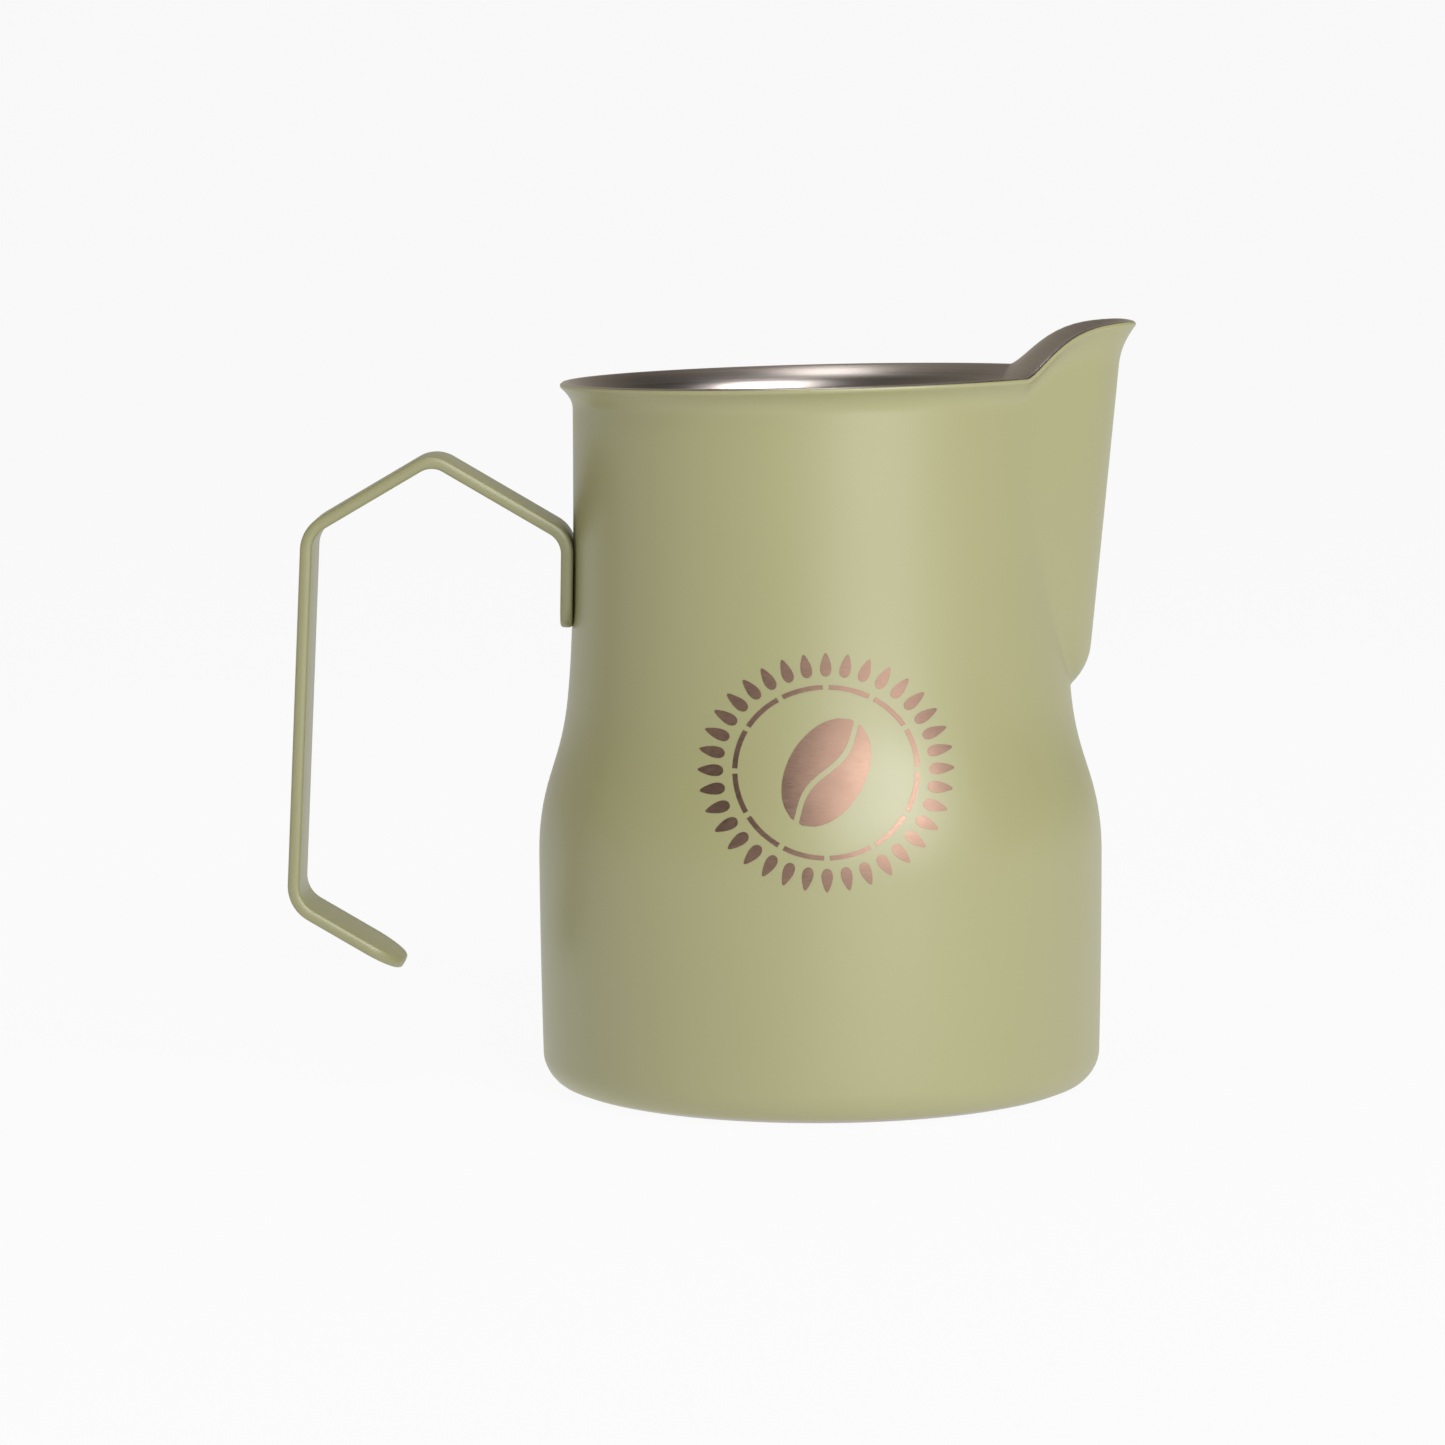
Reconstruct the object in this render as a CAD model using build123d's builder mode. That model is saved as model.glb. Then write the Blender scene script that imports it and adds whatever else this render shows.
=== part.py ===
"""Milk frothing pitcher: a drawn steel jug with a beak spout and an open, bent strip handle.

Millimetres, +Z up, +X towards the spout. The origin is the middle of the foot, on the axis of
the jug, on the surface that it stands on.
"""
from build123d import *
from math import atan, cos, exp, log, pi, radians, sin, sqrt, tan
import os

os.makedirs("parts", exist_ok=True)

# Sheet and coat.
WALL = 0.9  # drawn stainless sheet
COAT = 0.15  # powder coat over the outside
JOINT_STEP = 0.01  # the neck sheet is this much inside the lower wall where they meet
JOINT_LAP = 1.5  # and this much lower than the lower wall's top
COAT_PLAY = 0.02  # keeps the coat's inside clear of the neck
COAT_LAP = 0.1
COAT_LOW_Z = 0.65  # the coat stops short of the surface the jug stands on

# Lower jug, outside of the steel.
RECESS_R = 31.0  # the base inside the foot ring is pressed up
RECESS = 0.6
BASE_CORNER = 5.2
SIDE_R = 43.3  # the side carried down to the floor
BELLY_R = 43.78
BELLY_Z = 36.6
SHOULDER_ARC = 38.0  # radius of the bend in below the belly
SHOULDER_TURN = 17.5  # how far the wall leans in there, degrees
NECK_Z = 60.0  # above this height the neck follows neck_radius

# Neck and rim, outside of the steel.
NECK_R = 37.84
NECK_SPREAD = 1.3  # how much wider the neck is at NECK_Z
NECK_FADE = 11.8  # height over which that fades
RINGS = 28  # level rings that the neck is lofted through
STEP = 1e-4  # for slopes
RIM_Z = 109.9  # rim height at the axis
RIM_SLOPE = 0.018  # the rim climbs this much per mm towards the spout
LIP_OUT = 2.15  # how far the lip curls out
LIP_DEPTH = 3.5  # height of the curl at the back
BEAK_LIP_DEPTH = 6.2  # and at the tip of the spout

# Spout.
RIDGE_X = 42.15  # the ridge's straight line, at the height RIDGE_Z
RIDGE_Z = 68.3
RIDGE_LEAN = 0.0998
RIDGE_FOOT_R = 8.5  # the ridge's foot turns in on this radius
CREASE = 41.0  # angle of the spout's side creases at the rim, degrees
CREASE_FADE = 20.0  # height over which the creases close to a point
CREASE_FOOT_Z = 61.0
CREASE_TURN = 38.0  # bend across a crease at the foot of the spout, degrees
CREASE_TURN_FADE = 13.0
CREASE_TURN_LEFT = 2.5  # what is left of it at the rim
CREASE_SOFT = 0.22  # softness of the crease
BEAK_RISE = 7.7  # how far the rim climbs at the spout
BEAK_FROM = 31.5  # the climb starts at this x
BEAK_RUN = 6.1
BEAK_DROOP = 0.05
BEAK_TOP = 46.5  # past this x the rim droops again

# Handle strip: the line of the middle of its thickness, from the leg to the hook.
STRIP_W = 15.0
STRIP_T = 1.6
STRIP_EDGE = 0.45  # rounding along the strip
STRIP_PLAY = 0.02  # between the leg and the neck on the centre line
LEG_LOW_Z = 72.0
LEG_HIGH_Z = 86.0
PEAK = (-59.6, 98.35)
GRIP_TOP = (-79.0, 87.1)
GRIP_LOW = (-82.0, 29.05)
HOOK_TIP = (-65.3, 19.1)
BEND_LEG = 4.5  # bend radii of that middle line
BEND_PEAK = 4.3
BEND_TOP = 5.0
BEND_LOW = 5.2
TIP_ROUND = 6.0  # rounding of the hook's corners
LEG_ROUND = 3.0

# Spot welds down the middle of the leg.
WELD_D = 3.6
WELD_T = 1.0
WELD_PITCH = 3.7
WELD_COUNT = 3
WELD_MIDDLE_Z = 78.0
BARE_HALF = 5.0  # no coat gets between leg and neck within this of the centre line
BARE_LOW_Z = 71.7
BARE_HIGH_Z = 85.2


def neck_radius(z):
    """Outside radius of the round neck."""
    return NECK_R + NECK_SPREAD * exp((NECK_Z - z) / NECK_FADE)


def ridge_x(z):
    """The spout's ridge: a leaning straight line whose foot turns in on an arc."""
    line = RIDGE_X + RIDGE_LEAN * (z - RIDGE_Z)
    below = min(max(RIDGE_Z - z, 0.0), 0.995 * RIDGE_FOOT_R)
    return line - RIDGE_FOOT_R + sqrt(RIDGE_FOOT_R**2 - below**2)


def spout_radius(angle, z):
    """Distance from the axis to the spout: flat sides that meet on a round ridge."""
    neck = neck_radius(z)
    up = max(z - CREASE_FOOT_Z, 0.6)
    turn = radians(CREASE_TURN_LEFT + CREASE_TURN * exp(-up / CREASE_TURN_FADE))
    side = radians(CREASE * (1 - exp(-up / CREASE_FADE)) ** 0.85) + turn
    reach = neck * cos(turn)
    ridge = ridge_x(z)
    round_r = max((reach - ridge * cos(side)) / (1 - cos(side)), 4.0)
    middle = ridge - round_r
    a = abs(angle)
    if a >= side:
        return reach * cos(min(a - side, pi / 2))
    edge = (middle * cos(side) + round_r) / cos(a - side)
    tangent = atan(round_r * sin(side) / (middle + round_r * cos(side)))
    if a >= tangent:
        return edge
    return middle * cos(a) + sqrt(round_r**2 - (middle * sin(a)) ** 2)


def wall_radius(angle, z):
    """The neck and the spout, joined by a soft crease."""
    neck = neck_radius(z)
    over = (spout_radius(angle, z) - neck) / CREASE_SOFT
    if over > 30:
        return neck + over * CREASE_SOFT
    return neck + CREASE_SOFT * log(1 + exp(over))


def rim_height(angle):
    """Height of the lip's edge, which climbs at the spout and droops at its tip."""
    x = (wall_radius(angle, RIM_Z + 2) + LIP_OUT) * cos(angle)
    past = max(x - BEAK_FROM, 0.0)
    climb = BEAK_RISE * (1 - exp(-((past / BEAK_RUN) ** 1.5)))
    droop = BEAK_DROOP * max(x - BEAK_TOP, 0.0) ** 2
    return RIM_Z + RIM_SLOPE * x + climb - droop


def steel_point(angle, share, low_z):
    """A point of the steel's outside; share runs from 0, at low_z, to 1 at the lip."""
    rim = rim_height(angle)
    z = low_z + (rim - low_z) * (share - 0.11 * sin(2 * pi * share))
    depth = LIP_DEPTH + (BEAK_LIP_DEPTH - LIP_DEPTH) * max(cos(angle), 0.0) ** 6
    curl = LIP_OUT * max(1 - (rim - z) / depth, 0.0) ** 2
    radius = wall_radius(angle, z) - JOINT_STEP + curl
    return Vector(radius * cos(angle), radius * sin(angle), z)


def skin_point(angle, share, low_z, out):
    """The same point, moved out from the steel along its normal."""
    above = steel_point(angle, min(share + STEP, 1), low_z)
    below = steel_point(angle, max(share - STEP, 0), low_z)
    around = steel_point(angle + STEP, share, low_z) - steel_point(angle - STEP, share, low_z)
    moved = steel_point(angle, share, low_z) + around.cross(above - below).normalized() * out
    return moved if share > 0 else Vector(moved.X, moved.Y, low_z)


def level_rings(low_z, out):
    """Closed curves round the neck, from low_z up to the lip."""
    half_turn = list(range(0, 48, 2)) + list(range(48, 180, 6))
    angles = [-a for a in reversed(half_turn[1:])] + half_turn + [180]
    knots = [(a - angles[0]) / 360 for a in angles + [angles[0] + 360]]
    rings = []
    for ring in range(RINGS + 1):
        points = [skin_point(radians(a), ring / RINGS, low_z, out) for a in angles]
        rings.append(Edge.make_spline(points, periodic=True, parameters=knots))
    return rings


def neck_sheet(low_z, inside, outside):
    """The neck, spout and lip as a closed sheet between two distances from the steel's outside."""
    inner = level_rings(low_z, inside)
    outer = level_rings(low_z, outside)
    inner_face = Shell.make_loft([Wire([ring]) for ring in inner]).faces()[0]
    outer_face = Shell.make_loft([Wire([ring]) for ring in outer]).faces()[0]
    lip_edge = Face.make_surface_from_curves(outer[-1], inner[-1])
    hem = Face(Wire([outer[0]]), [Wire([inner[0]])])
    return Solid(Shell([outer_face, inner_face, lip_edge, hem]))


def lower_wall(side, thickness):
    """Base, corner, belly and shoulder: one sheet, spun round the axis."""
    lean = radians(SHOULDER_TURN)
    end_lean = atan(NECK_SPREAD / NECK_FADE)
    neck = neck_radius(NECK_Z)
    with BuildPart() as wall:
        with BuildSketch(Plane.XZ):
            with BuildLine():
                Polyline((0, RECESS), (RECESS_R - RECESS, RECESS), (RECESS_R, 0), (SIDE_R, 0))
                belly = TangentArc((BELLY_R, BELLY_Z), (SIDE_R, 0), tangent=(0, -1))
                fillet(belly.vertices().sort_by(Axis.Y)[0], radius=BASE_CORNER)
                shoulder = JernArc((BELLY_R, BELLY_Z), (0, 1), SHOULDER_ARC, SHOULDER_TURN)
                drop = (shoulder @ 1).X - neck
                rise = NECK_Z - (shoulder @ 1).Y
                turn_x = cos(end_lean) - cos(lean)
                turn_z = sin(lean) - sin(end_lean)
                waist_r = (rise * tan(lean) - drop) / (turn_z * tan(lean) - turn_x)
                waist = (neck + waist_r * turn_x, NECK_Z - waist_r * turn_z)
                Line(shoulder @ 1, waist)
                TangentArc(waist, (neck, NECK_Z), tangent=shoulder % 1)
                offset(amount=thickness, side=side)
            make_face()
        revolve(axis=Axis.Z)
    return wall.part


def leg_x(z):
    """The middle of the strip where its leg lies against the neck."""
    return -(neck_radius(z) + STRIP_PLAY + STRIP_T / 2)


def bent_strip(grow):
    """The handle's strip with rounded ends and edges, grown by this much on every side."""
    half = STRIP_T / 2 + grow
    leg_low = (leg_x(LEG_LOW_Z), LEG_LOW_Z - grow)
    leg_high = (leg_x(LEG_HIGH_Z), LEG_HIGH_Z)
    bends = [BEND_LEG, BEND_PEAK, BEND_TOP, BEND_LOW]
    with BuildPart() as strip:
        with BuildSketch(Plane.XZ):
            with BuildLine():
                path = (leg_low, leg_high, PEAK, GRIP_TOP, GRIP_LOW, HOOK_TIP)
                middle = FilletPolyline(*path, radius=bends, mode=Mode.PRIVATE)
                faces = [middle.offset_2d(half, side=s, closed=False) for s in (Side.LEFT, Side.RIGHT)]
                add(faces)
                for end in (middle @ 0, middle @ 1):
                    corners = [min(f.vertices(), key=lambda v: (Vector(v) - end).length) for f in faces]
                    Line(*[Vector(v) for v in corners])
            make_face()
        extrude(amount=STRIP_W / 2 + grow, both=True)
        across = strip.edges().filter_by(GeomType.LINE)
        corners = across.filter_by(lambda e: abs(e.length - 2 * half) < 0.01)
        fillet(corners.filter_by(lambda e: e.center().Z < GRIP_LOW[1]), TIP_ROUND + grow)
        fillet(corners.filter_by(lambda e: e.center().Z > GRIP_LOW[1]), LEG_ROUND + grow)
        along = [
            e
            for e in strip.edges()
            if abs(e.tangent_at(0.5).Y) < 0.999 and abs(e.length - 2 * half) > 0.02
        ]
        fillet(along, STRIP_EDGE + grow)
    return strip.part


def weld_nugget(z):
    """A lens of fused steel, half in the neck's sheet and half in the leg."""
    x = -(neck_radius(z) + STRIP_PLAY / 2)
    with BuildPart() as nugget:
        with BuildSketch(Plane(origin=(x, 0, z), x_dir=(1, 0, 0), z_dir=(0, -1, 0))):
            with BuildLine():
                TangentArc((-WELD_T / 2, 0), (0, WELD_D / 2), tangent=(0, 1))
                TangentArc((WELD_T / 2, 0), (0, WELD_D / 2), tangent=(0, 1))
                Line((-WELD_T / 2, 0), (WELD_T / 2, 0))
            make_face()
        revolve(axis=Axis((x, 0, z), (1, 0, 0)))
    return nugget.part


def bare_zone():
    """The strip of neck and leg that stays bare, where they lie on each other."""
    x = leg_x(LEG_HIGH_Z)
    with BuildPart() as zone:
        with BuildSketch(Plane.XY.offset(BARE_LOW_Z)):
            with Locations((x + 1.3, 0)):
                Rectangle(2.0, 2 * BARE_HALF)
        extrude(amount=BARE_HIGH_Z - BARE_LOW_Z)
    return zone.part


weld_steps = [i - (WELD_COUNT - 1) / 2 for i in range(WELD_COUNT)]
nuggets = [weld_nugget(WELD_MIDDLE_Z + step * WELD_PITCH) for step in weld_steps]

# The drawn jug: base, belly, neck, spout and curled lip in one sheet.
with BuildPart() as pitcher_body:
    add(lower_wall(Side.LEFT, WALL))
    add(neck_sheet(NECK_Z - JOINT_LAP, -WALL, 0))
    add(nuggets, mode=Mode.SUBTRACT)

# Powder coat over its outside, from just above the foot to the edge of the lip.
with BuildPart() as body_coating:
    add(lower_wall(Side.RIGHT, COAT))
    split(bisect_by=Plane.XY.offset(COAT_LOW_Z), keep=Keep.TOP)
    add(neck_sheet(NECK_Z - COAT_LAP, COAT_PLAY, COAT))
    add(bare_zone(), mode=Mode.SUBTRACT)

# The bent handle strip.
with BuildPart() as handle_strip:
    add(bent_strip(0))
    add(nuggets, mode=Mode.SUBTRACT)

# Its powder coat, which wraps it all round except where it lies on the neck.
with BuildPart() as handle_coating:
    add(bent_strip(COAT))
    add(bent_strip(0), mode=Mode.SUBTRACT)
    add(bare_zone(), mode=Mode.SUBTRACT)

pieces = {
    "pitcher_body": pitcher_body.part,
    "body_coating": body_coating.part,
    "handle_strip": handle_strip.part,
    "handle_coating": handle_coating.part,
}
for number, nugget in enumerate(nuggets, start=1):
    pieces[f"spot_weld_{number}"] = nugget
for name, piece in pieces.items():
    piece.label = name
    export_step(piece, f"parts/{name}.step")
    print(name, piece.is_valid, len(piece.solids()), piece.bounding_box())
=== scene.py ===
"""Milk frothing pitcher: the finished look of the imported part, in metres, spout towards +X."""

from math import atan, cos, degrees, pi, radians, sin, sqrt, tan

import bpy
import numpy as np
from mathutils import Matrix, Vector


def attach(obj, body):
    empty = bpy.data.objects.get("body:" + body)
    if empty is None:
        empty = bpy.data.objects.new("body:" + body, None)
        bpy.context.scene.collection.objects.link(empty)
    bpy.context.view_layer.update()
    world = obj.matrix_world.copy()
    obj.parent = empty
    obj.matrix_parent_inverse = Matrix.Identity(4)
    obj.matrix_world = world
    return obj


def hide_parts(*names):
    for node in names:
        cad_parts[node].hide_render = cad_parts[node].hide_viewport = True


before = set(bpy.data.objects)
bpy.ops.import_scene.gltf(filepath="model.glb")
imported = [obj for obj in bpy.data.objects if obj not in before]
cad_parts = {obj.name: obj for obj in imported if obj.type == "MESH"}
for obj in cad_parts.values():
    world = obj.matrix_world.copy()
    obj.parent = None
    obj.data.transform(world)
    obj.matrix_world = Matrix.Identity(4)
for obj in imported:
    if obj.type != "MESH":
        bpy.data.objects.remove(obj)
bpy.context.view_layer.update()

# --- The jug's sheet -------------------------------------------------------------------------
# One sheet of 18/10 stainless steel, 0.9 mm thick, spun into a jug: a base pressed up inside a
# foot ring, a straight belly that leans in to a neck, and a neck drawn out into a beak spout
# whose lip curls outwards. Inside and underneath it stays bare, with the rings of the spinning.
MM = 0.001
WALL = 0.9
RECESS, RECESS_R = 0.6, 31.0
FOOT_TURN = radians(45)
FOOT_IN_R, FOOT_IN_CUT = 0.8, 0.33
FOOT_OUT_R, FOOT_OUT_RISE = 1.0, 0.293
BASE_CORNER, CORNER_BARE = 5.2, 0.32  # the corner's bare share stays below the coat
SIDE_R, BELLY_R, BELLY_Z = 43.3, 43.78, 36.6
SHOULDER_ARC, SHOULDER_TURN = 38.0, radians(17.5)
NECK_Z, NECK_R, NECK_SPREAD, NECK_FADE = 60.0, 37.84, 1.3, 11.8
ROW_CROWD = 0.11  # draws the neck's rows together at its foot and at the lip
RIM_Z, RIM_SLOPE = 109.9, 0.018
LIP_OUT, LIP_DEPTH, BEAK_LIP_DEPTH = 2.15, 3.5, 6.2
RIDGE_X, RIDGE_Z, RIDGE_LEAN, RIDGE_FOOT_R = 42.15, 68.3, 0.0998, 8.5
CREASE, CREASE_FADE, CREASE_FOOT_Z, CREASE_SOFT = 41.0, 20.0, 61.0, 0.15
CREASE_TURN, CREASE_TURN_FADE, CREASE_TURN_LEFT = 38.0, 15.0, 4.0
CREASE_CURVE, CREASE_LEAST, NOSE_LEAST_R = 0.85, 0.6, 4.0
BEAK_RISE, BEAK_FROM, BEAK_RUN, BEAK_DROOP, BEAK_TOP = 7.7, 31.5, 6.1, 0.05, 46.5
BEAK_CURVE, BEAK_LIP_FADE, BEAK_SIGHT = 1.5, 6, 2
NECK_ROWS = 72
LIP_ROUND_FROM = 0.982  # the share of the neck's height where the lip's edge begins to round


class Line:
    """A line in a plane, walked in straight runs and arcs, that keeps its places and headings."""

    def __init__(self, place, heading):
        self.places = [np.array(place, float)]
        self.headings = [heading]

    def run(self, length, steps=1):
        heading = self.headings[-1]
        start = self.places[-1]
        for step in range(1, steps + 1):
            along = length * step / steps
            self.places.append(start + along * np.array([cos(heading), sin(heading)]))
            self.headings.append(heading)

    def bend(self, heading, radius, steps):
        """Turns to a heading on an arc, to the left when the heading grows."""
        start, first = self.places[-1], self.headings[-1]
        signed = radius if heading > first else -radius
        for step in range(1, steps + 1):
            now = first + (heading - first) * step / steps
            turned = np.array([sin(now) - sin(first), cos(first) - cos(now)])
            self.places.append(start + signed * turned)
            self.headings.append(now)


def neck_radius(z):
    return NECK_R + NECK_SPREAD * np.exp((NECK_Z - z) / NECK_FADE)


def over_crease_foot(z):
    return np.maximum(z - CREASE_FOOT_Z, CREASE_LEAST)


def crease_angle(z):
    """Where the spout's sides leave the round neck."""
    return radians(CREASE) * (1 - np.exp(-over_crease_foot(z) / CREASE_FADE)) ** CREASE_CURVE


def wall_radius(angle, z):
    """The neck, and the spout's flat sides that meet on a round ridge, with a soft crease."""
    neck = neck_radius(z)
    fade = np.exp(-over_crease_foot(z) / CREASE_TURN_FADE)
    turn = np.radians(CREASE_TURN_LEFT + CREASE_TURN * fade)
    side = crease_angle(z) + turn
    reach = neck * np.cos(turn)
    below = np.clip(RIDGE_Z - z, 0, 0.995 * RIDGE_FOOT_R)
    ridge = RIDGE_X + RIDGE_LEAN * (z - RIDGE_Z) - RIDGE_FOOT_R
    ridge = ridge + np.sqrt(RIDGE_FOOT_R**2 - below**2)
    round_r = np.maximum((reach - ridge * np.cos(side)) / (1 - np.cos(side)), NOSE_LEAST_R)
    middle = ridge - round_r
    a = np.abs(angle)
    past = reach * np.cos(np.clip(a - side, 0, pi / 2))
    flank = (middle * np.cos(side) + round_r) / np.cos(np.minimum(a - side, 0))
    tangent = np.arctan(round_r * np.sin(side) / (middle + round_r * np.cos(side)))
    inside = np.maximum(round_r**2 - (middle * np.sin(a)) ** 2, 0)
    nose = middle * np.cos(a) + np.sqrt(inside)
    spout = np.where(a >= side, past, np.where(a >= tangent, flank, nose))
    return neck + CREASE_SOFT * np.logaddexp(0, (spout - neck) / CREASE_SOFT)


def rim_height(angle):
    """The lip's edge climbs at the spout and droops at its tip."""
    x = (wall_radius(angle, RIM_Z + BEAK_SIGHT) + LIP_OUT) * np.cos(angle)
    climb = BEAK_RISE * (1 - np.exp(-((np.maximum(x - BEAK_FROM, 0) / BEAK_RUN) ** BEAK_CURVE)))
    return RIM_Z + RIM_SLOPE * x + climb - BEAK_DROOP * np.maximum(x - BEAK_TOP, 0) ** 2


def neck_height(angle, share):
    crowded = share - ROW_CROWD * np.sin(2 * pi * share)
    return NECK_Z + (rim_height(angle) - NECK_Z) * crowded


def neck_place(angle, share):
    """A place on the outside of the neck's steel: share is 0 at the neck's foot, 1 at the lip."""
    z = neck_height(angle, share)
    at_beak = np.maximum(np.cos(angle), 0) ** BEAK_LIP_FADE
    depth = LIP_DEPTH + (BEAK_LIP_DEPTH - LIP_DEPTH) * at_beak
    curl = LIP_OUT * np.maximum(1 - (rim_height(angle) - z) / depth, 0) ** 2
    radius = wall_radius(angle, z) + curl
    return np.stack([radius * np.cos(angle), radius * np.sin(angle), z], -1)


def unit(v):
    return v / np.linalg.norm(v, axis=-1, keepdims=True)


def neck_frame(angle, share):
    """Its place, the way out of the sheet, and the way up along it."""
    step = 1e-4
    top = np.minimum(share + step, 1)
    up = unit(neck_place(angle, top) - neck_place(angle, np.maximum(share - step, 0)))
    round_ = neck_place(angle + step, share) - neck_place(angle - step, share)
    return neck_place(angle, share), unit(np.cross(round_, up)), up


# The lower jug's outline, from the middle of the base up to the foot of the neck.
lean_end = atan(NECK_SPREAD / NECK_FADE)
belly_arc = (BELLY_Z**2 + (BELLY_R - SIDE_R) ** 2) / (2 * (BELLY_R - SIDE_R))
corner_end = np.arccos((BELLY_Z - BASE_CORNER) / (belly_arc - BASE_CORNER))
corner_x = BELLY_R - BASE_CORNER * sin(corner_end) - belly_arc * (1 - sin(corner_end))
shoulder_x = BELLY_R - SHOULDER_ARC * (1 - cos(SHOULDER_TURN))
shoulder_z = BELLY_Z + SHOULDER_ARC * sin(SHOULDER_TURN)
drop = shoulder_x - float(neck_radius(NECK_Z))
waist_x = cos(lean_end) - cos(SHOULDER_TURN)
waist_z = sin(SHOULDER_TURN) - sin(lean_end)
slope = tan(SHOULDER_TURN)
waist_r = ((NECK_Z - shoulder_z) * slope - drop) / (waist_z * slope - waist_x)
outline = Line((0, RECESS), 0)
outline.run(RECESS_R - RECESS - FOOT_IN_CUT, 6)
outline.bend(-FOOT_TURN, FOOT_IN_R, 3)
outline.run((outline.places[-1][1] - FOOT_OUT_RISE) / sin(FOOT_TURN))
outline.bend(0, FOOT_OUT_R, 3)
outline.run(corner_x - outline.places[-1][0], 2)
outline.bend(corner_end * CORNER_BARE, BASE_CORNER, 3)
coat_start = len(outline.places) - 1
outline.bend(corner_end, BASE_CORNER, 8)
outline.bend(pi / 2, belly_arc, 8)
outline.bend(pi / 2 + SHOULDER_TURN, SHOULDER_ARC, 8)
outline.run((NECK_Z - waist_r * waist_z - shoulder_z) / cos(SHOULDER_TURN), 2)
outline.bend(pi / 2 + lean_end, waist_r, 6)
low_places = np.array(outline.places)
low_out = np.array([[sin(h), -cos(h)] for h in outline.headings])

# Its columns: close together on the ridge and along the creases, wider round the back.
SPOUT_COLUMNS, BACK_COLUMNS, BACK_SPREAD = 26, 54, 1.45
half = [(1 - cos(pi * k / SPOUT_COLUMNS)) / 2 for k in range(SPOUT_COLUMNS + 1)]
half += [1 + (k / BACK_COLUMNS) ** BACK_SPREAD for k in range(1, BACK_COLUMNS + 1)]
columns = np.array(half + [-c for c in reversed(half[1:-1])])


def column_angles(share):
    """The columns' angles at a share of the neck's height, drawn so that two follow the creases."""
    angle = np.clip(columns, -1, 1) * radians(CREASE)
    for _ in range(6):
        crease = np.maximum(crease_angle(neck_height(angle, share)), radians(12))
        beyond = np.sign(columns) * np.maximum(np.abs(columns) - 1, 0)
        angle = np.clip(columns, -1, 1) * crease + beyond * (pi - crease)
    return angle


def low_ring(place, out, distance):
    """A level ring of the lower jug, moved out from the steel."""
    angle = column_angles(np.zeros(len(columns)))
    radius, z = place + out * distance
    return np.stack([radius * np.cos(angle), radius * np.sin(angle), z + 0 * angle], -1)


def neck_ring(share, distance):
    place, out, _ = neck_frame(column_angles(share), share)
    return place + out * distance


def lip_ring(turn, thickness, middle):
    """A ring of the lip's rounded edge: turn is 0 outside, 1 on top and 2 inside."""
    place, out, up = neck_frame(column_angles(LIP_ROUND_FROM), LIP_ROUND_FROM)
    round_ = (out * cos(turn * pi / 2) + up * sin(turn * pi / 2)) * thickness / 2
    return place + out * middle + round_


def mesh_piece(name, places, faces, material):
    """A smooth-shaded piece from places in millimetres."""
    mesh = bpy.data.meshes.new(name)
    mesh.from_pydata([tuple(p) for p in np.array(places) * MM], [], faces)
    mesh.validate()
    mesh.polygons.foreach_set("use_smooth", [True] * len(mesh.polygons))
    mesh.materials.append(material)
    piece = bpy.data.objects.new(name, mesh)
    bpy.context.scene.collection.objects.link(piece)
    return piece


def ring_faces(rows, across, closed):
    """Quads between rings of places, each joined to the next; if closed, the last to the first."""
    faces = []
    for row in range(rows if closed else rows - 1):
        here, there = row * across, (row + 1) % rows * across
        for k in range(across):
            n = (k + 1) % across
            faces.append((here + k, here + n, there + n, there + k))
    return faces


class Shade:
    """One output of a shader node. Arithmetic on it adds Math nodes to its tree."""

    def __init__(self, tree, socket=None):
        self.tree = tree
        self.socket = socket

    def node(self, kind, settings, values, output=0):
        """A new node: its settings are set first, then its sockets' values or links."""
        made = self.tree.nodes.new("ShaderNode" + kind)
        for name, value in settings.items():
            setattr(made, name, value)
        for name, value in values.items():
            if isinstance(value, Shade):
                self.tree.links.new(value.socket, made.inputs[name])
            else:
                made.inputs[name].default_value = value
        return Shade(self.tree, made.outputs[output])

    def maths(self, operation, first, second=0.0):
        return self.node("Math", {"operation": operation}, {0: first, 1: second})

    def __add__(self, other):
        return self.maths("ADD", self, other)

    def __sub__(self, other):
        return self.maths("SUBTRACT", self, other)

    def __rsub__(self, other):
        return self.maths("SUBTRACT", other, self)

    def __mul__(self, other):
        return self.maths("MULTIPLY", self, other)

    def __pow__(self, other):
        return self.maths("POWER", self, other)

    __radd__ = __add__
    __rmul__ = __mul__

    def tint(self, first, second):
        """This mask's mix of two colours."""
        mixed = {0: self, 6: first, 7: second}
        return self.node("Mix", {"data_type": "RGBA"}, mixed, 2)

    def feed(self, socket):
        self.tree.links.new(self.socket, socket)


def finish(name, sockets):
    """A material, its shader with these constant sockets, and a start for its other nodes."""
    material = bpy.data.materials.new(name)
    material.use_nodes = True
    shader = material.node_tree.nodes["Principled BSDF"]
    for socket, value in sockets.items():
        shader.inputs[socket].default_value = value
    return material, shader, Shade(material.node_tree)


def stretched_noise(start, scale, detail, stretch):
    """Noise on the object's own coordinates, in metres, stretched along each axis."""
    place = start.node("TexCoord", {}, {}, 3)
    drawn = start.node("VectorMath", {"operation": "MULTIPLY"}, {0: place, 1: stretch})
    return start.node("TexNoise", {}, {"Vector": drawn, "Scale": scale, "Detail": detail})


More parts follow.
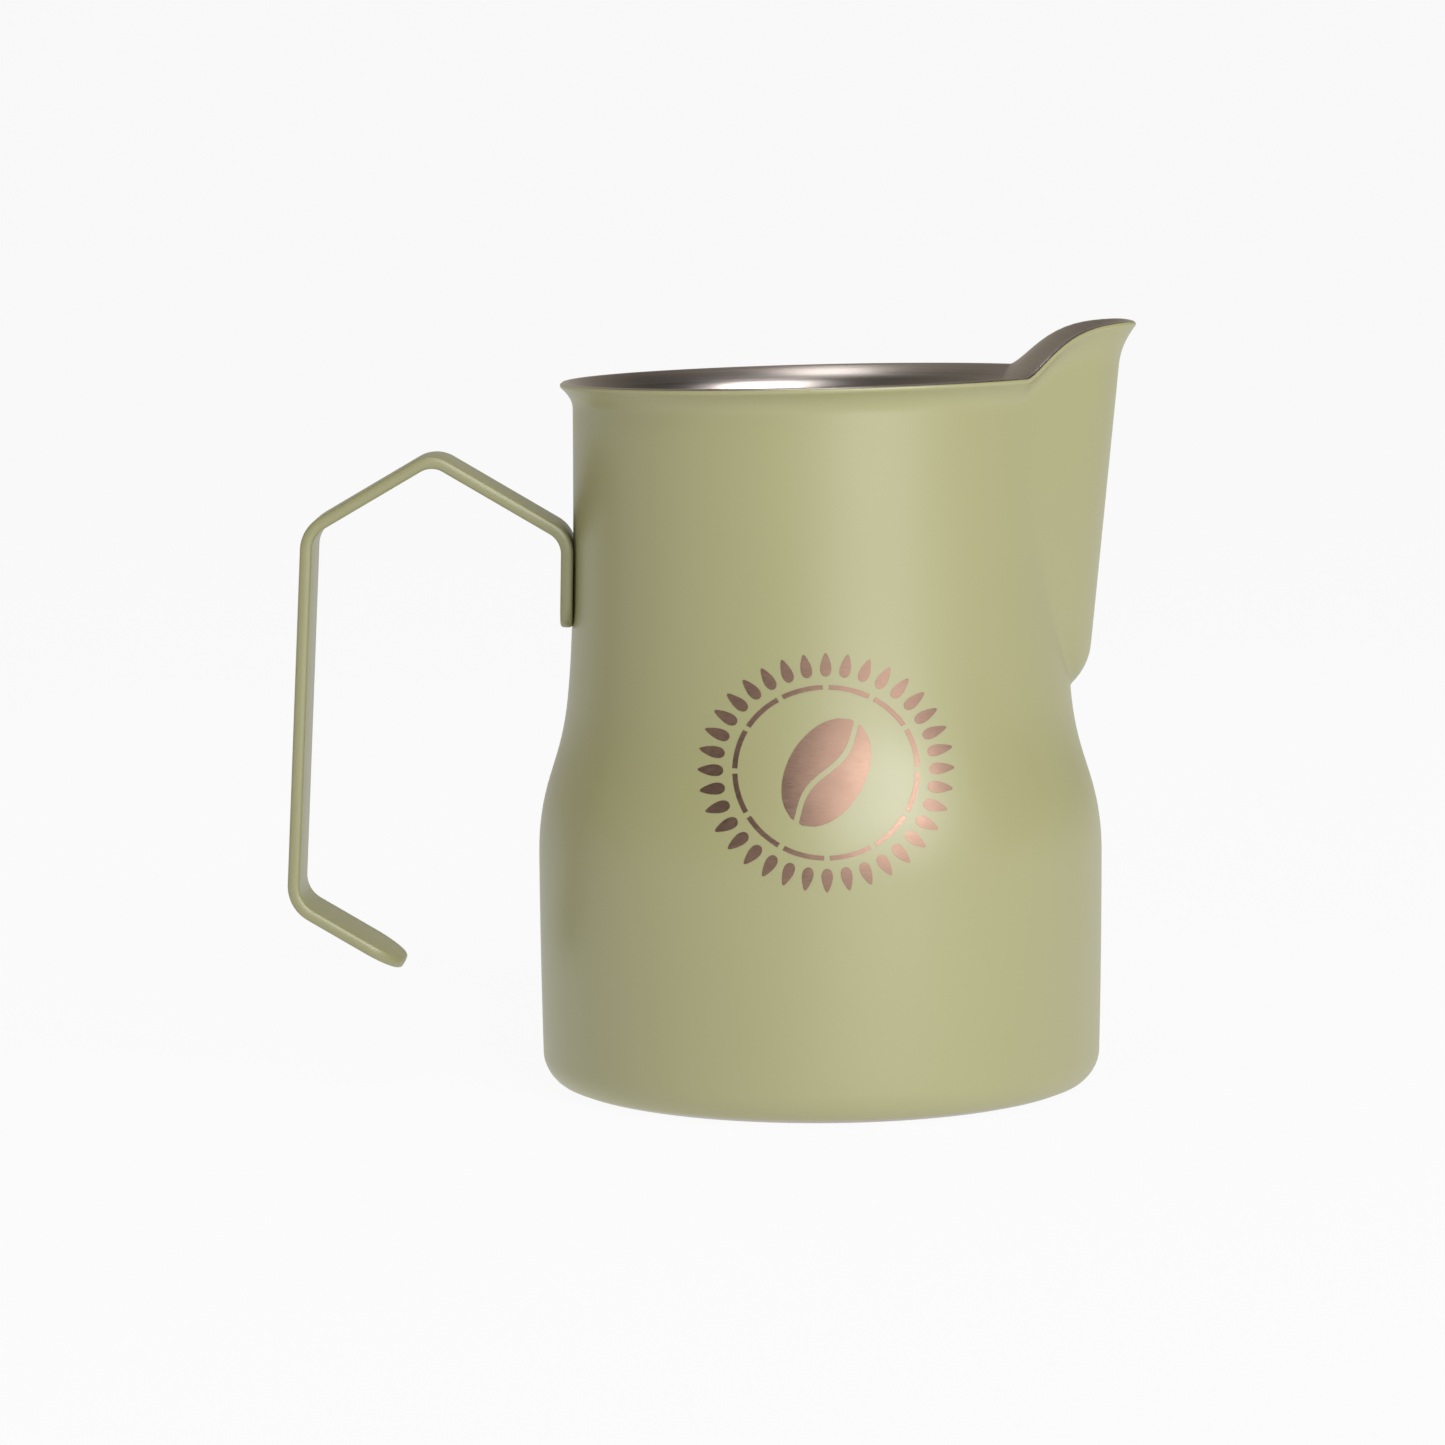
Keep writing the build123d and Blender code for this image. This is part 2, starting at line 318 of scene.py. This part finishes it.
# Bare steel, with fine rings left by the spinning and softer patches. Its colour is darker and
# warmer than plain steel: painted reflection of a dark warm surround.
steel, shader, start = finish("spun_steel", {"Metallic": 1.0, "IOR": 2.5})
place = start.node("TexCoord", {}, {}, 3)
split = start.node("SeparateXYZ", {}, {"Vector": place})
x, y, z = [Shade(split.tree, split.socket.node.outputs[k]) for k in range(3)]
from_axis = (x * x + y * y) ** 0.5
ring_way = start.node("CombineXYZ", {}, {"X": x * 12, "Y": y * 12, "Z": (z + from_axis) * 2600})
rings = start.node("TexNoise", {}, {"Vector": ring_way, "Scale": 1.0, "Detail": 3.0})
patches = stretched_noise(start, 45.0, 2.0, (1, 1, 1))
# both tints are painted dark warm reflection laid over the steel's own grey
(rings * 0.6 + patches * 0.4).tint((0.30, 0.258, 0.232, 1), (0.45, 0.403, 0.372, 1)).feed(
    shader.inputs["Base Color"]
)
(0.20 + rings * 0.16 + patches * 0.08).feed(shader.inputs["Roughness"])
bump = {"Height": rings, "Strength": 0.12, "Distance": 0.00006}
start.node("Bump", {}, bump).feed(shader.inputs["Normal"])

rows = [low_ring(p, o, 0) for p, o in zip(low_places[1:], low_out[1:])]
rows += [neck_ring(LIP_ROUND_FROM * k / NECK_ROWS, 0) for k in range(1, NECK_ROWS)]
rows += [lip_ring(turn, WALL, -WALL / 2) for turn in np.linspace(0, 2, 9)]
inner_rows = [neck_ring(LIP_ROUND_FROM * k / NECK_ROWS, -WALL) for k in range(1, NECK_ROWS)]
rows += inner_rows[::-1]
rows += [low_ring(p, o, -WALL) for p, o in zip(low_places[:0:-1], low_out[:0:-1])]
across = len(columns)
places = np.concatenate(rows + [[[0, 0, RECESS], [0, 0, RECESS + WALL]]])
faces = ring_faces(len(rows), across, False)
under, floor_middle, last = len(places) - 2, len(places) - 1, (len(rows) - 1) * across
for k in range(across):
    n = (k + 1) % across
    faces += [(under, n, k), (floor_middle, last + k, last + n)]
jug = mesh_piece("jug_spun_sheet", places, faces, steel)
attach(jug, "root")
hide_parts("pitcher_body")

# --- The jug's powder coat -------------------------------------------------------------------
# A satin sage green powder coat, baked on over the outside: from just above the foot ring, over
# the belly, the neck and the spout, and feathered out on the lip's rounded edge.
COAT = 0.15
COAT_SEAT = 0.02
FEATHER = 0.03


def powder_coat(name, depth):
    """The coat's finish: fine orange peel, cloudy pigment and slightly worn gloss; depth below 1
    darkens the pigment as painted shade.
    """
    deep, pale = (0.292, 0.282, 0.128), (0.330, 0.318, 0.152)
    deep, pale = [(*[channel * depth for channel in colour], 1) for colour in (deep, pale)]
    material, shader, start = finish(name, {"Metallic": 0.0, "IOR": 1.52, "Coat Roughness": 0.3})
    shader.inputs["Specular IOR Level"].default_value = 0.75
    cloud = stretched_noise(start, 28.0, 3.0, (1, 1, 0.6))
    grain = stretched_noise(start, 2600.0, 2.0, (1, 1, 1))
    peel = stretched_noise(start, 900.0, 1.0, (1, 1, 1))
    pigment = (cloud * 0.75 + grain * 0.25).tint(deep, pale)
    pigment.feed(shader.inputs["Base Color"])
    (0.36 + cloud * 0.10 + grain * 0.05).feed(shader.inputs["Roughness"])
    (0.10 + cloud * 0.08).feed(shader.inputs["Coat Weight"])
    bump = {"Height": peel + grain * 0.4, "Strength": 0.10, "Distance": 0.00008}
    start.node("Bump", {}, bump).feed(shader.inputs["Normal"])
    return material


sage = powder_coat("sage_powder_coat", 1.0)
low = list(zip(low_places[coat_start:], low_out[coat_start:]))
rows = [low_ring(p, o, FEATHER + (COAT - FEATHER) * min(k, 1)) for k, (p, o) in enumerate(low)]
rows += [neck_ring(LIP_ROUND_FROM * k / NECK_ROWS, COAT) for k in range(1, NECK_ROWS)]
turns = np.linspace(0, 0.8, 6)
rows += [lip_ring(t, WALL + 2 * COAT * (1 - t**2), -WALL / 2) for t in turns]
rows += [lip_ring(t, WALL - 2 * COAT_SEAT, -WALL / 2) for t in turns[::-1]]
inner_rows = [neck_ring(LIP_ROUND_FROM * k / NECK_ROWS, COAT_SEAT) for k in range(1, NECK_ROWS)]
rows += inner_rows[::-1]
rows += [low_ring(p, o, COAT_SEAT) for p, o in reversed(low)]
faces = ring_faces(len(rows), across, True)
coat = mesh_piece("jug_powder_coat", np.concatenate(rows), faces, sage)
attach(coat, "root")
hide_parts("body_coating")

# --- The handle ------------------------------------------------------------------------------
# A strip of the same steel, 15 mm by 1.6 mm, bent cold at four places and open at the bottom,
# with rounded ends and broken edges. It is coated all round in the jug's sage green, painted
# a little darker than on the jug as painted shade.
STRIP_W, STRIP_T, STRIP_EDGE, STRIP_PLAY = 15.0, 1.6, 0.45, 0.02
LEG_LOW_Z, LEG_HIGH_Z = 72.0, 86.0
PEAK, GRIP_TOP = (-59.6, 98.35), (-79.0, 87.1)
GRIP_LOW, HOOK_TIP = (-82.0, 29.05), (-65.3, 19.1)
BENDS = (4.5, 4.3, 5.0, 5.2)  # radii of its middle line, from the leg round to the hook
TIP_ROUND, LEG_ROUND = 6.0, 3.0
CORNER_STEPS, EDGE_STEPS = 12, 8
CORNER_CLEAR = 1.02  # keeps the straight part's rings off the rounded corners


def leg_x(height):
    return -float(neck_radius(height)) - STRIP_PLAY - STRIP_T / 2


def bent_line(corners, radii):
    """A line through the corners, each bent on its radius, in short steps."""
    corners = [np.array(c, float) for c in corners]
    ways = [unit(b - a) for a, b in zip(corners, corners[1:])]
    headings = np.unwrap([np.arctan2(w[1], w[0]) for w in ways])
    cuts = [r * tan(abs(b - a) / 2) for r, a, b in zip(radii, headings, headings[1:])] + [0]
    line, back = Line(corners[0], headings[0]), 0
    for k, (a, b) in enumerate(zip(corners, corners[1:])):
        length = float(np.linalg.norm(b - a)) - back - cuts[k]
        line.run(length, max(int(length / 1.6), 2))
        if k < len(radii):
            turn = abs(headings[k + 1] - headings[k])
            line.bend(headings[k + 1], radii[k], max(int(degrees(turn) / 5), 3))
        back = cuts[k]
    return line


def strip_places(line, growth, short):
    """The strip's skin, grown all round, as rings round its middle line, short of both its ends."""
    thick, wide, edge = STRIP_T + 2 * growth, STRIP_W + 2 * growth, STRIP_EDGE + growth
    leg_round, tip_round = LEG_ROUND + growth, TIP_ROUND + growth
    places = np.array(line.places)
    run = np.concatenate([[0], np.cumsum(np.linalg.norm(np.diff(places, axis=0), axis=1))])
    first, last = short, run[-1] - short
    # Each station: how far along it lies, its half width, and which way its edge faces.
    turns = np.linspace(0, pi / 2, CORNER_STEPS + 1)
    stations = [
        (first + leg_round * (1 - cos(t)), wide / 2 - leg_round * (1 - sin(t)), -cos(t), sin(t))
        for t in turns
    ]
    stations += [
        (s, wide / 2, 0, 1)
        for s in run
        if first + leg_round * CORNER_CLEAR < s < last - tip_round * CORNER_CLEAR
    ]
    stations += [
        (last - tip_round * (1 - cos(t)), wide / 2 - tip_round * (1 - sin(t)), cos(t), sin(t))
        for t in turns[::-1]
    ]
    rings = []
    for s, half_w, out_s, out_w in stations:
        left = []
        for rise in np.linspace(-pi / 2, pi / 2, EDGE_STEPS + 1):
            inset = edge * (1 - cos(rise))
            high = (thick / 2 - edge) * np.sign(rise) + edge * sin(rise)
            left.append((s - out_s * inset, half_w - out_w * inset, high))
        rings.append(left + [(a, -b, c) for a, b, c in reversed(left)])
    flat = np.array(rings)
    heading = np.interp(flat[..., 0], run, line.headings)
    middle = [np.interp(flat[..., 0], run, places[:, k]) for k in range(2)]
    x = middle[0] - np.sin(heading) * flat[..., 2]
    z = middle[1] + np.cos(heading) * flat[..., 2]
    return np.stack([x, flat[..., 1], z], -1)


def skin_faces(rings, around):
    """The quads of one skin of the strip, with both its ends closed by caps."""
    faces = ring_faces(rings, around, False)
    end = (rings - 1) * around
    for k in range(around // 2 - 1):
        a, b = k, around - 1 - k
        faces.append((b, b - 1, a + 1, a))
        faces.append((end + a, end + a + 1, end + b - 1, end + b))
    return faces


leg_ends = [(leg_x(LEG_LOW_Z), LEG_LOW_Z - COAT), (leg_x(LEG_HIGH_Z), LEG_HIGH_Z)]
strip_line = bent_line([*leg_ends, PEAK, GRIP_TOP, GRIP_LOW, HOOK_TIP], BENDS)
strip_line.run(COAT)
skin = strip_places(strip_line, COAT, 0.0)
lining = strip_places(strip_line, COAT_SEAT, COAT - COAT_SEAT)
along, around = skin.shape[:2]
faces = skin_faces(along, around)
for face in skin_faces(len(lining), around):
    faces.append(tuple(along * around + k for k in reversed(face)))
# The handle's coat is the jug's coat with its pigment at 0.8: painted shade on the handle.
strip_sage_painted_shade = powder_coat("sage_powder_coat_painted_shade_on_strip", 0.8)
places = np.concatenate([skin.reshape(-1, 3), lining.reshape(-1, 3)])
handle = mesh_piece("handle_powder_coat", places, faces, strip_sage_painted_shade)
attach(handle, "root")
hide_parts("handle_coating")

# The strip itself, under its coat, is plain rolled steel: fine straight grain along the strip.
strip_steel, shader, start = finish("rolled_strip_steel", {"Metallic": 1.0})
roll = stretched_noise(start, 900.0, 3.0, (0.1, 1, 0.1))
roll.tint((0.46, 0.44, 0.42, 1), (0.60, 0.58, 0.56, 1)).feed(shader.inputs["Base Color"])
(0.26 + roll * 0.18).feed(shader.inputs["Roughness"])
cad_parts["handle_strip"].data.materials.clear()
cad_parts["handle_strip"].data.materials.append(strip_steel)

# --- The spot welds --------------------------------------------------------------------------
# Three nuggets of fused steel down the middle of the handle's leg. They join it to the neck and
# lie between the two sheets, with a heat-tinted skin.
weld_steel, shader, start = finish("weld_steel", {"Metallic": 1.0})
heat = stretched_noise(start, 700.0, 2.0, (1, 1, 1))
heat.tint((0.30, 0.24, 0.20, 1), (0.46, 0.43, 0.42, 1)).feed(shader.inputs["Base Color"])
(0.38 + heat * 0.2).feed(shader.inputs["Roughness"])
for number in (1, 2, 3):
    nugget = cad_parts[f"spot_weld_{number}"]
    nugget.data.materials.clear()
    nugget.data.materials.append(weld_steel)

# --- The etched mark -------------------------------------------------------------------------
# A plain ornament etched through the coat by laser on the front of the belly, down to the steel,
# which the heat leaves rose brown: a coffee bean inside a thin ring and a ring of small drops.
MARK_X, MARK_Z = 0.6, 53.3
MARK_W, MARK_H = 19.2, 17.6
MARK_PROUD, MARK_SUNK = 0.03, 0.08
BEAN_W, BEAN_H, BEAN_TILT = 5.8, 8.6, radians(32)
SEAM_WAVE, SEAM_HALF = 1.1, 0.42
DROPS, DROP_NEAR, DROP_FAR, DROP_FAT = 36, 0.80, 1.0, 1.12
RING_ARCS, RING_SHARES, RING_GAP = 12, (0.69, 0.71, 0.73), 0.06
NECK_HEIGHTS = (62, 66, 70, 75)  # the mark reaches up past the neck's foot
coat_line = np.concatenate(
    [low_places[coat_start:], [[float(neck_radius(h)), h] for h in NECK_HEIGHTS]]
)


def on_coat(u, v, lift):
    """The place on the front of the coat that is u to the right and v above the mark's middle."""
    x, z = MARK_X + u, MARK_Z + v
    lower, radius, upper = [
        np.interp(z + step, coat_line[:, 1], coat_line[:, 0]) for step in (-0.5, 0.0, 0.5)
    ]
    radius = radius + (COAT + lift) / np.cos(np.arctan(upper - lower))
    return np.stack([x, -np.sqrt(radius**2 - x**2), z], -1)


mark_places, mark_faces = [], []


def etch(patch):
    """Adds one closed mark from a grid of (u, v) places."""
    rows, across = patch.shape[:2]
    base = sum(len(p) for p in mark_places)
    top = on_coat(patch[..., 0], patch[..., 1], MARK_PROUD).reshape(-1, 3)
    low = on_coat(patch[..., 0], patch[..., 1], -MARK_SUNK).reshape(-1, 3)
    mark_places.append(np.concatenate([top, low]))
    below = base + rows * across
    for r in range(rows - 1):
        for c in range(across - 1):
            a = r * across + c
            quad = (a, a + 1, a + across + 1, a + across)
            mark_faces.append(tuple(base + q for q in quad))
            mark_faces.append(tuple(below + q for q in reversed(quad)))
    border = list(range(across))
    border += [r * across + across - 1 for r in range(1, rows)]
    border += [(rows - 1) * across + c for c in reversed(range(across - 1))]
    border += [r * across for r in reversed(range(1, rows - 1))]
    for a, b in zip(border, border[1:] + border[:1]):
        mark_faces.append((base + b, base + a, below + a, below + b))


def drop_patch(turn):
    """A drop that points outwards: round towards the middle, and drawn out to a point."""
    rows = []
    for t in (1 - np.cos(np.linspace(0, pi, 12))) / 2:
        wide = DROP_FAT * (sqrt(max(t * (1 - t), 0)) * 2 * (1 - 0.62 * t) + 0.015)
        reach = DROP_NEAR + (DROP_FAR - DROP_NEAR) * t
        side = np.linspace(-wide, wide, 5)
        u = reach * sin(turn) * MARK_W + side * cos(turn)
        v = reach * cos(turn) * MARK_H - side * sin(turn)
        rows.append(np.stack([u, v], -1))
    return np.array(rows)[:, ::-1]


def bean_half(side):
    """Half a coffee bean, from its wavy seam out to its edge."""
    rows = []
    for t in np.linspace(-0.985, 0.985, 22):
        edge = BEAN_W * sqrt(1 - t * t)
        seam = SEAM_WAVE * sin(pi * t) * (1 - 0.25 * t * t) + side * SEAM_HALF
        reach = side * edge if side * edge * side > seam * side else seam + side * 0.01
        w = np.linspace(seam, reach, 7)
        u = w * cos(BEAN_TILT) + BEAN_H * t * sin(BEAN_TILT)
        v = -w * sin(BEAN_TILT) + BEAN_H * t * cos(BEAN_TILT)
        rows.append(np.stack([u, v], -1))
    patch = np.array(rows)
    return patch if side > 0 else patch[:, ::-1]


for k in range(DROPS):
    etch(drop_patch(2 * pi * k / DROPS))
for k in range(RING_ARCS):
    turns = np.linspace(k + RING_GAP, k + 1 - RING_GAP, 14) * 2 * pi / RING_ARCS
    arc = [[(q * MARK_W * sin(t), q * MARK_H * cos(t)) for q in RING_SHARES] for t in turns]
    etch(np.array(arc)[:, ::-1])
etch(bean_half(1))
etch(bean_half(-1))

mark_metal, shader, start = finish("etched_rose_steel", {"Metallic": 1.0})
stroke = stretched_noise(start, 2400.0, 3.0, (0.35, 1, 1.6))
burn = stretched_noise(start, 170.0, 2.0, (1, 1, 1))
(stroke * 0.5 + burn * 0.5).tint((0.18, 0.112, 0.080, 1), (0.36, 0.235, 0.175, 1)).feed(
    shader.inputs["Base Color"]
)
(0.34 + stroke * 0.22).feed(shader.inputs["Roughness"])
bump = {"Height": stroke, "Strength": 0.2, "Distance": 0.00005}
start.node("Bump", {}, bump).feed(shader.inputs["Normal"])
mark = mesh_piece("etched_mark", np.concatenate(mark_places), mark_faces, mark_metal)
mark.data.set_sharp_from_angle(angle=radians(40))
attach(mark, "root")

# --- The studio ------------------------------------------------------------------------------
# A white floor and a surround that is white to the lens and dimmer in its light. One large soft
# light and a small one stand in front on the right, a weak one hangs over the jug, and a long lens
# looks from a little above the rim.
FLOOR_Z, FLOOR_SIDES, FLOOR_RADII = -0.05, 64, (120, 500, 2000, 6000)
floor_paint, shader, start = finish("white_floor", {"Roughness": 0.9, "Emission Strength": 0.940})
shader.inputs["Specular IOR Level"].default_value = 0.0
sheet_grain = stretched_noise(start, 6.0, 1.0, (1, 1, 1))
sheet_grain.tint((0.03, 0.03, 0.03, 1), (0.035, 0.035, 0.035, 1)).feed(shader.inputs["Base Color"])
sheet_grain.tint((1, 1, 1, 1), (0.995, 0.995, 0.995, 1)).feed(shader.inputs["Emission Color"])
floor_turns = np.linspace(0, 2 * pi, FLOOR_SIDES + 1)[:-1]
floor_rings = [[(r * cos(a), r * sin(a), FLOOR_Z) for a in floor_turns] for r in FLOOR_RADII]
floor_places = np.concatenate(floor_rings + [[[0, 0, FLOOR_Z]]])
floor_faces = [tuple(reversed(f)) for f in ring_faces(len(FLOOR_RADII), FLOOR_SIDES, False)]
floor_faces += [(len(floor_places) - 1, k, (k + 1) % FLOOR_SIDES) for k in range(FLOOR_SIDES)]
floor = mesh_piece("studio_floor", floor_places, floor_faces, floor_paint)

world = bpy.data.worlds.new("surround")
bpy.context.scene.world = world
world.use_nodes = True
room = Shade(world.node_tree)
seen = room.node("LightPath", {}, {}, 0)
way = room.node("SeparateXYZ", {}, {"Vector": room.node("TexCoord", {}, {}, 0)})
side, back, above = [Shade(way.tree, way.socket.node.outputs[k]) for k in range(3)]
ceiling = room.maths("MAXIMUM", above - 0.7, 0.0) * 1.3
glow = back * 0.27 - side * 0.15 + 0.40 - room.maths("MAXIMUM", above, 0.0) * 0.42 + ceiling
backing = world.node_tree.nodes["Background"]
seen.tint((1.0, 0.955, 0.83, 1), (1, 1, 1, 1)).feed(backing.inputs["Color"])
(seen * (0.944 - glow) + glow).feed(backing.inputs["Strength"])


def soft_light(name, place, target, size, power):
    """A square softbox of cool daylight that faces its target."""
    lamp = bpy.data.lights.new(name, "AREA")
    lamp.color = (0.965, 0.975, 1.0)
    lamp.energy = power
    lamp.size = size
    light = bpy.data.objects.new(name, lamp)
    light.location = place
    aim = Vector(target) - Vector(place)
    light.rotation_euler = aim.to_track_quat("-Z", "Y").to_euler()
    bpy.context.scene.collection.objects.link(light)


soft_light("softbox_front", (0.53, -1.17, 0.62), (0, 0, 0.06), 1.0, 18.8)
soft_light("softbox_right", (0.82, -0.94, 0.66), (0, 0, 0.06), 0.3, 3.5)
soft_light("softbox_top", (-0.08, -0.26, 1.15), (0, 0, 0.1), 0.44, 2.8)

EYE, LOOK_AT = Vector((-0.008367, -0.849959, 0.149088)), Vector((-0.015126, 0.000149, 0.056375))
ROLL = radians(-0.41)
camera = bpy.data.cameras.new("camera")
camera.sensor_width = 36.0
camera.lens = 136.52
camera.clip_start = 0.01
eye = bpy.data.objects.new("camera", camera)
ahead = (LOOK_AT - EYE).normalized()
right = ahead.cross(Vector((0, 0, 1))).normalized()
above = right.cross(ahead)
across_view = right * cos(ROLL) + above * sin(ROLL)
up_view = above * cos(ROLL) - right * sin(ROLL)
turned = Matrix((across_view, up_view, -ahead)).transposed().to_4x4()
eye.matrix_world = Matrix.Translation(EYE) @ turned
bpy.context.scene.collection.objects.link(eye)
bpy.context.scene.camera = eye
bpy.context.scene.view_settings.view_transform = "Standard"
bpy.context.scene.view_settings.look = "None"
